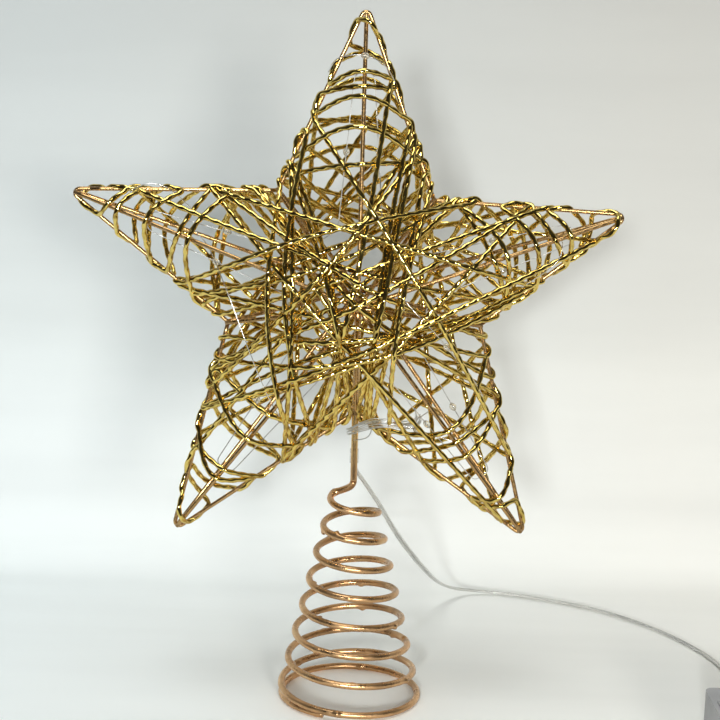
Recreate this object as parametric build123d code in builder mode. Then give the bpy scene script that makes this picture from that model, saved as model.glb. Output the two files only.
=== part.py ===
from build123d import *
import os
from math import cos, pi, radians, sin, sqrt, tan

import numpy as np

# Tree-topper star: a wire star wound with gold cord, on a conical spring, with micro lights
# and a battery box on a lead. Millimetres. X right, Y back, Z up, and the origin is the centre
# of the spring's foot on the surface that it stands on.

# Star frame
star_centre_height = 150.8
star_tip_radius = 107.0
star_notch_radius = 45.0
arm_names = ["top", "upper_left", "lower_left", "lower_right", "upper_right"]
arm_angles = [89.8, 160.6, 233.1, 306.1, 378.7]
tip_radius_shares = [0.968, 1.037, 1.037, 1.014, 0.949]
notch_angles = [127.8, 191.8, 270.0, 349.1, 414.1]
notch_radius_shares = [1.073, 1.062, 0.929, 1.0, 0.989]
stem_notch = 2
star_half_depth = 22.0
frame_wire = 1.2
frame_sides = 6
tip_bend_radius = 1.6
tip_weld_run = 2.0
ridge_stub = 1.0
weld_gap = 0.1
hub_radius = 2.6
hub_half_thickness = 1.4
hub_sides = 20

# Stem and conical spring, bent from one heavier wire
stem_wire = 2.5
stem_bottom = 82.8
stem_bend_radius = 6.0
spring_top_radius = 8.4
spring_base_radius = 25.9
spring_top_height = 76.4
spring_turns = 7.25
foot_blend_turns = 0.25
foot_turns = 0.56
first_turn_angle = 180
spring_sides = 4
flat_share = 0.1

# Gold cord
cord = 1.4
cord_sides = 3
wire_clearance = 0.6
layer_gap = 0.9
winding_start = 48.0
winding_tip_gap = 11.0
winding_turns = 1.25
wrap_stand = 4.4
wrap_creep = 0.24
wrap_side = 3.3
wrap_passes = 6
wrap_depth = 25.2
wrap_sway = 4.6

# Micro lights
led_wire = 0.6
led_sides = 3
bead_diameter = 2.4
bead_length = 3.4
bead_chamfer = 0.7
bead_sides = 6
petal_inner_radius = 26.0
petal_tip = 80.0
petal_half_width = 3.5
petal_spread = 18.0
binding_turns = 1.5
binding_pitch = 1.6
binding_gap = 0.3
binding_rise = 1.6
binding_exit = 2.4
back_angle = 90
petal_order = (3, 4, 0, 1, 2)
light_entry = [(5.4, -2.6, 100.0), (6.8, -2.6, 106.8), (8.6, -1.0, 115.8)]

# Splice and lead
lead = 2.2
lead_sides = 4
sleeve_diameter = 3.2
sleeve_length = 5.0
sleeve_bottom = 89.3
arc_share = 0.45
lead_drop_height = 84.8
lead_entry_run = 7.0
lead_route = [
    (3.2, 8.6, 78.8),
    (8.6, 15.4, 69.6),
    (15.0, 26.0, 57.6),
    (22.6, 44.0, 41.8),
    (30.6, 70.0, 23.8),
    (38.4, 98.0, 8.4),
    (47.4, 115.5, 1.8),
    (61.0, 121.0, 1.2),
    (84.0, 113.5, 1.2),
    (109.0, 100.0, 1.2),
    (130.0, 78.0, 1.2),
    (145.0, 50.0, 1.2),
    (150.5, 27.0, 1.2),
    (149.5, 5.0, 1.2),
    (145.5, -9.5, 1.6),
]

# Battery box
cell_diameter = 14.2
cell_length = 49.5
cell_button_diameter = 5.5
cell_button_height = 1.0
cell_gap = 0.4
wall = 1.8
case_floor = 1.6
groove_depth = 0.9
tongue = 1.2
slide_gap = 0.25
lip = 1.2
case_corner = 3.0
switch_bay = 9.0
partition = 1.6
contact_plate = 0.4
contact_flex = 1.2
contact_width = 9.0
contact_height = 10.0
contact_boss = 4.0
contact_boss_sides = 6
contact_touch = 0.1
knob_length = 5.0
knob_width = 4.0
knob_height = 1.6
knob_neck = 2.6
knob_travel = 3.5
knob_groove = 0.5
switch_length = 12.0
switch_width = 5.6
switch_height = 5.0
gland_diameter = 4.0
gland_sides = 12
gland_taper = 6.0
gland_length = 4.5
gland_height = 5.2
case_centre_x = 143.0
case_back = -33.0
thumb_rib = 0.6
thumb_rib_count = 3
thumb_rib_pitch = 2.4
thumb_rib_length_share = 0.4

# Shared
cut_overrun = 4.0
measure_steps = 20
neighbour_diameters = 4
probe_turn = 0.001

os.makedirs("parts", exist_ok=True)
depth_axis = Vector(0, 1, 0)
star_centre = Vector(0, 0, star_centre_height)


def keep_piece(piece, name):
    """Labels a finished piece and writes its file."""
    piece.label = name
    export_step(piece, f"parts/{name}.step")


def outward(angle):
    """The direction away from the star's centre at this angle, seen from the front."""
    return Vector(cos(radians(angle)), 0, sin(radians(angle)))


def star_point(radius, angle, depth=0.0):
    """A point at a radius and an angle about the star's centre, seen from the front."""
    return star_centre + outward(angle) * radius + depth_axis * depth


def wire_section(diameter, sides):
    """A few-sided outline with its corners on a round wire's surface, on the plane being sketched."""
    return RegularPolygon(diameter / 2, sides)


def turned_side(angle):
    """The direction that a point at this angle moves in as the angle grows."""
    return Vector(-sin(radians(angle)), 0, cos(radians(angle)))


def lay_biarcs(stations, headings):
    """Lays two tangent arcs between neighbouring stations and returns points along them."""
    along = []
    for start, end, leave, arrive in zip(stations, stations[1:], headings, headings[1:]):
        span = end - start
        bend = 2 * (1 - leave.dot(arrive))
        pull = 2 * span.dot(leave + arrive)
        reach = (sqrt(pull**2 + 4 * bend * span.dot(span)) - pull) / (2 * bend)
        near = start + leave * reach
        far = end - arrive * reach
        middle = (near + far) * (1 / 2)
        first_arc = TangentArc(start, middle, tangent=leave)
        second_arc = TangentArc(middle, end, tangent=far - near)
        for arc in (first_arc, second_arc):
            along += [arc @ (step / measure_steps) for step in range(measure_steps)]
    return along


def headings_of(place, turns):
    """Unit directions of a route, from its own places just before and after each station."""
    return [(place(turn + probe_turn) - place(turn - probe_turn)).normalized() for turn in turns]


def print_least_gap(name, along, diameter):
    """Measures how near a wound tube comes to itself."""
    points = np.array([tuple(point) for point in along])
    steps = np.linalg.norm(np.diff(points, axis=0), axis=1)
    run = np.concatenate(([0.0], np.cumsum(steps)))
    apart = np.linalg.norm(points[:, None] - points[None], axis=2)
    apart[np.abs(run[:, None] - run[None]) < neighbour_diameters * diameter] = np.inf
    print(f"{name}: length {run[-1]:.0f} mm, least gap to itself {apart.min() - diameter:.2f} mm")


def corner_radii(points):
    """The largest radius that each corner of a route has room for."""
    radii = []
    for before, corner, after in zip(points, points[1:], points[2:]):
        turn = (corner - before).get_angle(after - corner)
        shorter = min((corner - before).length, (after - corner).length)
        radii.append(arc_share * shorter / tan(radians(turn / 2)))
    return radii


# Arm outline: one wire bent round the tip and one straight wire welded to its end
def notch_plane(notch, arm_side):
    """The mitre at a notch, turned so that the arm lies below it."""
    away = turned_side(notch_angles[notch]) * arm_side
    shift = stem_wire / 2 + weld_gap if notch == stem_notch else 0
    return Plane(origin=star_point(notch_radii[notch], notch_angles[notch]) + away * shift, z_dir=-away)


tip_radii = [star_tip_radius * share for share in tip_radius_shares]
notch_radii = [star_notch_radius * share for share in notch_radius_shares]
bend_tops = []
for number, arm in enumerate(arm_names):
    before = (number - 1) % len(arm_names)
    tip = star_point(tip_radii[number], arm_angles[number])
    bent_notch = star_point(notch_radii[number], notch_angles[number])
    straight_notch = star_point(notch_radii[before], notch_angles[before])
    bent_run = (bent_notch - tip).normalized()
    straight_run = (straight_notch - tip).normalized()
    half_tip = radians(bent_run.get_angle(straight_run) / 2)
    weld_point = tip + straight_run * (tip_bend_radius / tan(half_tip) + tip_weld_run)
    bent_start = bent_notch + bent_run * cut_overrun
    straight_length = (straight_notch - weld_point).length + cut_overrun
    bend_tops.append(tip_radii[number] - tip_bend_radius / sin(half_tip) + tip_bend_radius)

    with BuildPart() as bent_wire:
        with BuildLine() as bent_axis:
            FilletPolyline(bent_start, tip, weld_point, radius=tip_bend_radius)
        with BuildSketch(Plane(origin=bent_start, z_dir=-bent_run)):
            wire_section(frame_wire, frame_sides)
        sweep(path=bent_axis.wire())
        split(bisect_by=notch_plane(number, -1), keep=Keep.BOTTOM)
    keep_piece(bent_wire.part, f"{arm}_arm_bent_wire")

    with BuildPart() as straight_wire:
        with BuildSketch(Plane(origin=weld_point, z_dir=straight_run)):
            wire_section(frame_wire, frame_sides)
        extrude(amount=straight_length)
        split(bisect_by=notch_plane(before, 1), keep=Keep.BOTTOM)
    keep_piece(straight_wire.part, f"{arm}_arm_straight_wire")

# Ridge wires to the tips and valley wires to the notches, front and back, with a weld at each apex
lap_depth = frame_wire + weld_gap
stem_lap_depth = (stem_wire + frame_wire) / 2 + weld_gap
faces = {"front": -1, "back": 1}
for face, sign in faces.items():
    apex = star_centre + depth_axis * sign * star_half_depth
    for number, arm in enumerate(arm_names):
        arm_angle = arm_angles[number]
        notch_angle = notch_angles[number]
        notch_lap = stem_lap_depth if number == stem_notch else lap_depth
        ridge_end = star_point(bend_tops[number] + ridge_stub, arm_angle, sign * lap_depth)
        valley_end = star_point(notch_radii[number] + frame_wire / 2, notch_angle, sign * notch_lap)

        with BuildPart() as ridge:
            with BuildSketch(Plane(origin=apex, z_dir=ridge_end - apex)):
                wire_section(frame_wire, frame_sides)
            extrude(amount=(ridge_end - apex).length)
            split(bisect_by=Plane(origin=apex + outward(arm_angle) * hub_radius, z_dir=outward(arm_angle)))
        keep_piece(ridge.part, f"{arm}_{face}_ridge_wire")

        with BuildPart() as valley:
            with BuildSketch(Plane(origin=apex, z_dir=valley_end - apex)):
                wire_section(frame_wire, frame_sides)
            extrude(amount=(valley_end - apex).length)
            split(bisect_by=Plane(origin=apex + outward(notch_angle) * hub_radius, z_dir=outward(notch_angle)))
        keep_piece(valley.part, f"{arm}_{face}_valley_wire")

    with BuildPart() as hub:
        with BuildSketch(Plane(origin=apex, x_dir=(1, 0, 0), z_dir=depth_axis)):
            RegularPolygon(hub_radius, hub_sides)
        extrude(amount=hub_half_thickness, both=True)
    keep_piece(hub.part, f"{face}_hub")

# Stem: up through the bottom notch, then back to the rear hub
back_apex = star_centre + depth_axis * star_half_depth
stem_start = Vector(0, 0, stem_bottom)
stem_end = back_apex - depth_axis * hub_half_thickness
with BuildPart() as stem:
    with BuildLine() as stem_axis:
        FilletPolyline(stem_start, star_centre, stem_end, radius=stem_bend_radius)
    with BuildSketch(Plane(origin=stem_start, z_dir=(0, 0, 1))):
        wire_section(stem_wire, frame_sides)
    sweep(path=stem_axis.wire())
keep_piece(stem.part, "stem")

# Conical spring, left-handed, and the dead turn that it stands on
foot_height = stem_wire / 2 - stem_wire * flat_share
spring_pitch = (spring_top_height - foot_height) / (spring_turns + foot_blend_turns / 2)
foot_start = spring_turns + foot_blend_turns


def spring_place(turn):
    """A point of the spring's axis, counted in turns down from its top."""
    down = min(turn, spring_turns)
    radius = spring_top_radius + (spring_base_radius - spring_top_radius) * down / spring_turns
    closing = min(max(turn - spring_turns, 0), foot_blend_turns)
    drop = spring_pitch * (down + closing - closing**2 / (2 * foot_blend_turns))
    angle = radians(first_turn_angle) + 2 * pi * turn
    return Vector(radius * cos(angle), radius * sin(angle), spring_top_height - drop)


coil_turns = [half / 2 for half in range(round(2 * foot_start) + 1)]
coil_stations = [spring_place(turn) for turn in coil_turns]
coil_headings = headings_of(spring_place, coil_turns)
stem_stub = stem_start - Vector(0, 0, stem_wire)
down_axis = Vector(0, 0, -1)
with BuildPart() as spring_base:
    with BuildLine() as coil_axis:
        Line(stem_start, stem_stub)
        coil_along = lay_biarcs([stem_stub] + coil_stations, [down_axis] + coil_headings)
    with BuildSketch(Plane(origin=stem_start, z_dir=down_axis)):
        wire_section(stem_wire, spring_sides)
    sweep(path=coil_axis.wire())
    split(bisect_by=Plane.XY, keep=Keep.TOP)
keep_piece(spring_base.part, "spring_base")

foot_end = foot_start + foot_turns
foot_turn_list = [foot_start, foot_start + foot_turns / 3, foot_start + 2 * foot_turns / 3, foot_end]
foot_stations = [spring_place(turn) for turn in foot_turn_list]
foot_headings = headings_of(spring_place, foot_turn_list)
foot_headings[0] = Vector(foot_headings[0].X, foot_headings[0].Y, 0).normalized()
with BuildPart() as spring_foot:
    with BuildLine() as foot_axis:
        foot_along = lay_biarcs(foot_stations, foot_headings)
        Line(foot_stations[-1], foot_stations[-1] + foot_headings[-1] * stem_wire)
    with BuildSketch(Plane(origin=foot_stations[0], z_dir=foot_headings[0])):
        wire_section(stem_wire, spring_sides)
    sweep(path=foot_axis.wire())
    split(bisect_by=Plane.XY, keep=Keep.TOP)
keep_piece(spring_foot.part, "spring_foot")
print_least_gap("spring", coil_along + foot_along, stem_wire)

# Arm windings: each cord winds out along its arm, climbs a layer at the tip and winds back
layer_step = cord + layer_gap
cord_stand = (frame_wire + cord) / 2 + wire_clearance
half_turn = 1 / 2
whole_winding = 2 * winding_turns + half_turn


def edge_half_width(number, notch, reach):
    """The distance from an arm's axis to its edge through a notch, at a reach from the star's centre."""
    aside = radians(notch_angles[notch] - arm_angles[number])
    notch_reach = notch_radii[notch] * cos(aside)
    notch_width = abs(notch_radii[notch] * sin(aside))
    return notch_width * (tip_radii[number] - reach) / (tip_radii[number] - notch_reach)


def winding_place(number, turn):
    """A point of an arm's winding, counted in turns from its start."""
    past = min(max(turn - winding_turns, 0), half_turn)
    back = max(turn - winding_turns - half_turn, 0)
    out = min(turn, winding_turns)
    turn_advance = (tip_radii[number] - winding_tip_gap - winding_start) / winding_turns
    reach = winding_start + turn_advance * (out + past - past**2 / half_turn - back)
    raised = layer_step * past / half_turn
    angle = 2 * pi * turn
    notch = number if cos(angle) > 0 else (number - 1) % len(arm_names)
    half_width = edge_half_width(number, notch, reach)
    half_depth = star_half_depth + (lap_depth - star_half_depth) * reach / (bend_tops[number] + ridge_stub)
    side = (half_width + cord_stand + raised) * cos(angle)
    depth = (half_depth + cord_stand + raised) * sin(angle)
    return star_point(reach, arm_angles[number], depth) + turned_side(arm_angles[number]) * side


winding_stops = [quarter / 4 for quarter in range(round(4 * whole_winding) + 1)]
windings = []
for number, arm in enumerate(arm_names):
    stations = [winding_place(number, turn) for turn in winding_stops]
    headings = headings_of(lambda turn: winding_place(number, turn), winding_stops)
    tail = stations[0] - headings[0] * cord
    with BuildPart() as arm_winding:
        with BuildLine() as winding_axis:
            Line(tail, stations[0])
            winding_along = lay_biarcs(stations, headings)
            Line(stations[-1], stations[-1] + headings[-1] * cord)
        with BuildSketch(Plane(origin=tail, z_dir=headings[0])):
            wire_section(cord, cord_sides)
        sweep(path=winding_axis.wire(), clean=False)
    windings.append(arm_winding.part.solid())
    print_least_gap(f"{arm} arm winding", winding_along, cord)


# Body winding: one cord from notch to notch, over the front and the back by turns
def notch_stop(number):
    """Where the body cord passes through its next notch, beside the one that it passed there before."""
    notch = 2 * number % len(arm_names)
    angle = notch_angles[notch]
    side = wrap_side if number % 2 else -wrap_side
    return star_point(notch_radii[notch] + wrap_stand + wrap_creep * number, angle) + turned_side(angle) * side


def wrap_place(passed):
    """A point of the body cord, counted in passes from notch to notch."""
    number = int(passed // 1)
    swing = pi * (passed - number)
    start = notch_stop(number)
    along = (1 - cos(swing)) / 2
    face = 1 if number % 2 else -1
    rise = wrap_depth * sin(swing) + wrap_sway * sin(2 * pi * along)
    return start + (notch_stop(number + 1) - start) * along + depth_axis * face * rise


wrap_stops = [half / 2 for half in range(2 * wrap_passes + 1)]
wrap_stations = [wrap_place(stop) for stop in wrap_stops]
wrap_headings = headings_of(wrap_place, wrap_stops)
wrap_tail = wrap_stations[0] - wrap_headings[0] * cord
with BuildPart() as body_winding:
    with BuildLine() as wrap_axis:
        Line(wrap_tail, wrap_stations[0])
        wrap_along = lay_biarcs(wrap_stations, wrap_headings)
        Line(wrap_stations[-1], wrap_stations[-1] + wrap_headings[-1] * cord)
    with BuildSketch(Plane(origin=wrap_tail, z_dir=wrap_headings[0])):
        wire_section(cord, cord_sides)
    sweep(path=wrap_axis.wire())
print_least_gap("body winding", wrap_along, cord)
keep_piece(Compound(children=windings + [body_winding.part.solid()]), "gold_cord")

# Splice sleeve behind the stem, between the lead and the light wire
sleeve_y = stem_wire / 2 + binding_gap + sleeve_diameter / 2
sleeve_top = sleeve_bottom + sleeve_length
with BuildPart() as splice_sleeve:
    with BuildSketch(Plane.XY.offset(sleeve_bottom)):
        with Locations((0, sleeve_y)):
            Circle(sleeve_diameter / 2)
    extrude(amount=sleeve_length)
keep_piece(splice_sleeve.part, "splice_sleeve")

# Light wire: bound round the stem above the sleeve, then through the bottom notch and a petal into each arm
sleeve_exit = Vector(0, sleeve_y, sleeve_top)
binding_bottom = sleeve_top + binding_rise
binding_radius = (stem_wire + led_wire) / 2 + binding_gap


def binding_place(turn):
    """A point of the wire bound round the stem, counted in turns from behind it."""
    angle = radians(back_angle) + 2 * pi * turn
    return Vector(
        binding_radius * cos(angle), binding_radius * sin(angle), binding_bottom + binding_pitch * turn
    )


binding_stops = [half / 2 for half in range(round(2 * binding_turns) + 1)]
binding_stations = [binding_place(turn) for turn in binding_stops]
binding_headings = headings_of(binding_place, binding_stops)
up_axis = Vector(0, 0, 1)
sleeve_stub = sleeve_exit + up_axis * led_wire
binding_end = binding_stations[-1]
light_points = [binding_end, binding_end + binding_headings[-1] * binding_exit]
light_points += [Vector(*point) for point in light_entry]
bead_places = []
for number in petal_order:
    arm_angle = arm_angles[number]
    lean = turned_side(arm_angle) * petal_half_width
    petal = [
        star_point(petal_inner_radius, arm_angle - petal_spread),
        star_point(petal_tip, arm_angle) - lean,
        star_point(petal_tip, arm_angle) + lean,
        star_point(petal_inner_radius, arm_angle + petal_spread),
    ]
    light_points += petal
    for near, far in ((petal[0], petal[1]), (petal[2], petal[3])):
        bead_places.append(Plane(origin=(near + far) * (1 / 2), z_dir=far - near))
light_radii = corner_radii(light_points)
print("light wire radii", [round(radius, 1) for radius in light_radii])
with BuildPart() as light_wire:
    with BuildLine() as light_axis:
        Line(sleeve_exit, sleeve_stub)
        binding_along = lay_biarcs([sleeve_stub] + binding_stations, [up_axis] + binding_headings)
        FilletPolyline(*light_points, radius=light_radii)
    with BuildSketch(Plane(origin=sleeve_exit, z_dir=up_axis)):
        wire_section(led_wire, led_sides)
    sweep(path=light_axis.wire())
print_least_gap("stem binding", binding_along, led_wire)
keep_piece(light_wire.part, "light_wire")

# Light beads: drops of clear resin over the chips on the light wire
beads = []
for place in bead_places:
    with BuildPart() as bead:
        with BuildSketch(place):
            RegularPolygon(bead_diameter / 2, bead_sides)
        extrude(amount=bead_length / 2, both=True)
        ends = bead.faces().sort_by(Axis(place.origin, place.z_dir))
        chamfer(ends[0].edges() + ends[-1].edges(), bead_chamfer)
    beads.append(bead.part.solid())
keep_piece(Compound(children=beads), "light_beads")

# Lead: down behind the stem to the floor, then along it to the battery box
case_width = 2 * cell_diameter + 3 * cell_gap + 2 * wall
bay_width = case_width - 2 * wall
bay_length = cell_length + cell_button_height + 2 * (contact_plate + contact_flex)
case_length = 2 * wall + bay_length + partition + switch_bay
cell_axis_height = case_floor + cell_gap + cell_diameter / 2
groove_floor = case_floor + 2 * cell_gap + cell_diameter
groove_height = tongue + 2 * slide_gap
case_height = groove_floor + groove_height + lip
gland_tip = case_back + gland_length
lead_points = [
    Vector(0, sleeve_y, sleeve_bottom),
    Vector(0, sleeve_y, lead_drop_height),
    *[Vector(*point) for point in lead_route],
    Vector(case_centre_x, gland_tip + lead_entry_run, gland_height),
    Vector(case_centre_x, gland_tip, gland_height),
]
lead_radii = corner_radii(lead_points)
print("lead radii", [round(radius, 1) for radius in lead_radii])
with BuildPart() as lead_cord:
    with BuildLine() as lead_axis:
        FilletPolyline(*lead_points, radius=lead_radii)
    with BuildSketch(Plane(origin=lead_points[0], z_dir=lead_axis.wire() % 0)):
        lead_section = wire_section(lead, lead_sides)
    sweep(path=lead_axis.wire())
lead_length = lead_axis.wire().length
print(f"lead: length {lead_length:.0f} mm, volume share {lead_cord.part.volume / lead_length / lead_section.area:.3f}")
keep_piece(lead_cord.part, "lead")

# Battery case: a tray with grooves for the sliding cover and a deck over the switch
case_front = case_back - case_length
bay_front = case_front + wall
bay_back = bay_front + bay_length
deck_back = case_back - wall
case_middle = (case_front + case_back) / 2
switch_middle = bay_back + partition + switch_bay / 2
slot_length = knob_neck + knob_travel + 2 * slide_gap
with BuildPart() as battery_case:
    with BuildSketch():
        with Locations((case_centre_x, case_middle)):
            RectangleRounded(case_width, case_length, case_corner)
    extrude(amount=case_height)
    with BuildSketch(Plane.XY.offset(case_floor)):
        with Locations((case_centre_x, (bay_front + bay_back) / 2)):
            Rectangle(bay_width, bay_length)
    extrude(amount=case_height, mode=Mode.SUBTRACT)
    with BuildSketch(Plane.XY.offset(groove_floor)):
        with Locations((case_centre_x, (case_front - cut_overrun + bay_back) / 2)):
            Rectangle(bay_width + 2 * groove_depth, bay_back - case_front + cut_overrun)
    extrude(amount=groove_height, mode=Mode.SUBTRACT)
    with BuildSketch(Plane.XY.offset(groove_floor)):
        with Locations((case_centre_x, case_front)):
            Rectangle(bay_width, 2 * wall)
    extrude(amount=case_height, mode=Mode.SUBTRACT)
    with BuildSketch(Plane.XY.offset(case_floor)):
        with Locations((case_centre_x, switch_middle)):
            Rectangle(bay_width, switch_bay)
    extrude(amount=case_height - case_floor - wall, mode=Mode.SUBTRACT)
    with BuildSketch(Plane.XY.offset(case_height)):
        with Locations((case_centre_x, switch_middle)):
            Rectangle(slot_length, knob_neck + 2 * slide_gap)
    extrude(amount=-2 * wall, mode=Mode.SUBTRACT)
    with Locations(Plane(origin=(case_centre_x, case_back, gland_height), z_dir=depth_axis)):
        Hole(gland_diameter / 2, depth=2 * wall)
keep_piece(battery_case.part, "battery_case")

# Battery cover: a panel with side tongues that slides off at the front
cover_length = bay_back - case_front - slide_gap
cover_middle = case_front + cover_length / 2
with BuildPart() as battery_cover:
    with BuildSketch(Plane.XY.offset(groove_floor + slide_gap)):
        with Locations((case_centre_x, cover_middle)):
            Rectangle(bay_width + 2 * groove_depth - 2 * slide_gap, cover_length)
    extrude(amount=tongue)
    with BuildSketch(Plane.XY.offset(groove_floor + slide_gap + tongue)):
        with Locations((case_centre_x, cover_middle)):
            Rectangle(bay_width - 2 * slide_gap, cover_length)
    extrude(amount=slide_gap + lip)
    with BuildSketch(Plane.XY.offset(case_height)):
        with Locations((case_centre_x, case_front + 2 * case_corner + thumb_rib_pitch)):
            with GridLocations(0, thumb_rib_pitch, 1, thumb_rib_count):
                Rectangle(bay_width * thumb_rib_length_share, 2 * thumb_rib)
    extrude(amount=thumb_rib)
keep_piece(battery_cover.part, "battery_cover")

# Cells, head to tail
cell_shift = (cell_diameter + cell_gap) / 2
cell_start = bay_front + contact_plate + contact_flex
for name, side, flip in (("left_cell", -1, False), ("right_cell", 1, True)):
    can_start = cell_start + cell_button_height if flip else cell_start
    button_start = cell_start if flip else cell_start + cell_length
    cell_x = case_centre_x + side * cell_shift
    with BuildPart() as cell:
        with BuildSketch(Plane(origin=(cell_x, can_start, cell_axis_height), z_dir=depth_axis)):
            Circle(cell_diameter / 2)
        extrude(amount=cell_length)
        with BuildSketch(Plane(origin=(cell_x, button_start, cell_axis_height), z_dir=depth_axis)):
            Circle(cell_button_diameter / 2)
        extrude(amount=cell_button_height)
    keep_piece(cell.part, name)

# Contacts: stamped plates with a raised boss against each cell end
boss_height = contact_flex - contact_touch


def contact(centres, plate_face, facing, name):
    """A plate on an end wall of the bay with a boss for each cell end that it touches."""
    width = contact_width + max(centres) - min(centres)
    middle = (max(centres) + min(centres)) / 2
    with BuildPart() as plate:
        with BuildSketch(Plane((middle, plate_face, cell_axis_height), (1, 0, 0), depth_axis * facing)):
            Rectangle(width, contact_height)
        extrude(amount=contact_plate)
        for centre in centres:
            seat = Plane((centre, plate_face, cell_axis_height), (1, 0, 0), depth_axis * facing)
            with BuildSketch(seat.offset(contact_plate)):
                RegularPolygon(contact_boss / 2, contact_boss_sides)
            extrude(amount=boss_height)
    keep_piece(plate.part, name)


left_x = case_centre_x - cell_shift
right_x = case_centre_x + cell_shift
contact([left_x, right_x], bay_front, 1, "bridge_contact")
contact([left_x], bay_back, -1, "positive_contact")
contact([right_x], bay_back, -1, "negative_contact")

# Slide switch under the deck, and its knob
deck_bottom = case_height - wall
with BuildPart() as switch_body:
    with BuildSketch(Plane.XY.offset(deck_bottom - slide_gap - switch_height)):
        with Locations((case_centre_x, switch_middle)):
            Rectangle(switch_length, switch_width)
    extrude(amount=switch_height)
keep_piece(switch_body.part, "switch_body")

knob_x = case_centre_x - knob_travel / 2
with BuildPart() as switch_knob:
    with BuildSketch(Plane.XY.offset(deck_bottom)):
        with Locations((knob_x, switch_middle)):
            Rectangle(knob_neck, knob_neck)
    extrude(amount=wall + slide_gap)
    with BuildSketch(Plane.XY.offset(case_height + slide_gap)):
        with Locations((knob_x, switch_middle)):
            Rectangle(knob_length, knob_width)
    extrude(amount=knob_height)
    with BuildSketch(Plane.XY.offset(case_height + slide_gap + knob_height)):
        with Locations((knob_x, switch_middle)):
            with GridLocations(2 * knob_groove, 0, 3, 1):
                Rectangle(knob_groove, knob_width)
    extrude(amount=-knob_groove, mode=Mode.SUBTRACT)
keep_piece(switch_knob.part, "switch_knob")

# Gland: a tapered bush in the end wall that the lead comes out of
gland_seat = Plane(origin=(case_centre_x, deck_back, gland_height), z_dir=depth_axis)
with BuildPart() as lead_gland:
    with BuildSketch(gland_seat):
        RegularPolygon(gland_diameter / 2, gland_sides)
    extrude(amount=wall)
    with BuildSketch(gland_seat.offset(wall)):
        RegularPolygon(gland_diameter / 2, gland_sides)
    extrude(amount=gland_length, taper=gland_taper)
keep_piece(lead_gland.part, "lead_gland")
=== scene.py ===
"""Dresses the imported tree-topper star: wires, wound gold cord, coiled spring, lights, lead and stage."""
import math

import bpy
import numpy as np
from mathutils import Matrix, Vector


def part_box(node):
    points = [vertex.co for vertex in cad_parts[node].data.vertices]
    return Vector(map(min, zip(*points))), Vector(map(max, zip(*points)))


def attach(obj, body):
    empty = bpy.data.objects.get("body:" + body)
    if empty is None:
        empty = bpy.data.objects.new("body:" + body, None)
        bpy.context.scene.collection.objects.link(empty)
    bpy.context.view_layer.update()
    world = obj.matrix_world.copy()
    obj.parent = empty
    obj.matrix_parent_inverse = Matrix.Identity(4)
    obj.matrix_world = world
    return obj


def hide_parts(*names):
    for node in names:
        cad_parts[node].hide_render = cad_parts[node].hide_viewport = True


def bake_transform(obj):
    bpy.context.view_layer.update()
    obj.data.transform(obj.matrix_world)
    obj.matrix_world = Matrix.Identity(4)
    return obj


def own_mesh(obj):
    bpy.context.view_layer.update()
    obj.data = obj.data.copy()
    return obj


bl_info = {
    "name": "Tree Topper Star",
    "version": (1, 0, 0),
    "blender": (4, 5, 0),
    "location": "View3D > Sidebar > Topper",
    "description": "Builds the wound wire star on its spring over the packed model",
    "category": "Object",
}

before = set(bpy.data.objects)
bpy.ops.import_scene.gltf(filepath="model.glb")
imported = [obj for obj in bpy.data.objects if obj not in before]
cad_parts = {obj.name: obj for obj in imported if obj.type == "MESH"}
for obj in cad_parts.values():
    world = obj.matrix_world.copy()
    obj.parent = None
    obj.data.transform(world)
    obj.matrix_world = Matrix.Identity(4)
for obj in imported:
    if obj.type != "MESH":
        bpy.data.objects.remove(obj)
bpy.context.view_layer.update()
# The arms from the top one round by the left, with the uneven angles and lengths of a hand-bent star
ARMS = ("top", "upper_left", "lower_left", "lower_right", "upper_right")
ARM_ANGLES = np.radians((89.8, 160.6, 233.1, 306.1, 378.7))
TIP_SHARES = np.array((0.968, 1.037, 1.037, 1.014, 0.949))
NOTCH_ANGLES = np.radians((127.8, 191.8, 270.0, 349.1, 414.1))
NOTCH_SHARES = np.array((1.073, 1.062, 0.929, 1.0, 0.989))
STEM_NOTCH = 2
EXTRA_LOOPS = (2, 1, 0, 0, 1)
CORNER_ANGLES = np.stack((ARM_ANGLES, NOTCH_ANGLES), axis=1).ravel()
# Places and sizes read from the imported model
HUB_LOW, HUB_HIGH = (np.array(corner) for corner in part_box("front_hub"))
STAR_HEIGHT = float(HUB_LOW[2] + HUB_HIGH[2]) / 2
HALF_DEPTH = -float(HUB_LOW[1] + HUB_HIGH[1]) / 2
WELD_RADIUS = float(HUB_HIGH[2] - HUB_LOW[2]) / 2
STEM_BOTTOM = float(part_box("stem")[0][2])
STEM_BACK = float(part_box("stem")[1][1])
SLEEVE_LOW, SLEEVE_HIGH = (np.array(corner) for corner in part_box("splice_sleeve"))
SLEEVE_Y = float(SLEEVE_LOW[1] + SLEEVE_HIGH[1]) / 2
MM_PER_M = 1000
# The star's two faces by their direction along Y, a wire's sides and ring spacing, and a weld's solid share
FACES = (("front", -1), ("back", 1))
WIRE_SIDES = 12
STRAIGHT_STEP = 0.004
WELD_CORE = 0.70
# The cord's stops as shares of an arm's edge, and how it goes over an edge
EDGE_STAND = -0.0004
EDGE_LIFT = 0.0012
OUT_SHARES = (0.04, 0.87)
BACK_SHARES = (0.86, 0.05)
LAST_SHARE = 0.95
ARM_BULGE = 0.0032
BODY_BULGE = 0.0026
GOLDEN_SHARE = 0.618
# The lead's ring spacing
LEAD_STEP = 0.0012
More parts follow.
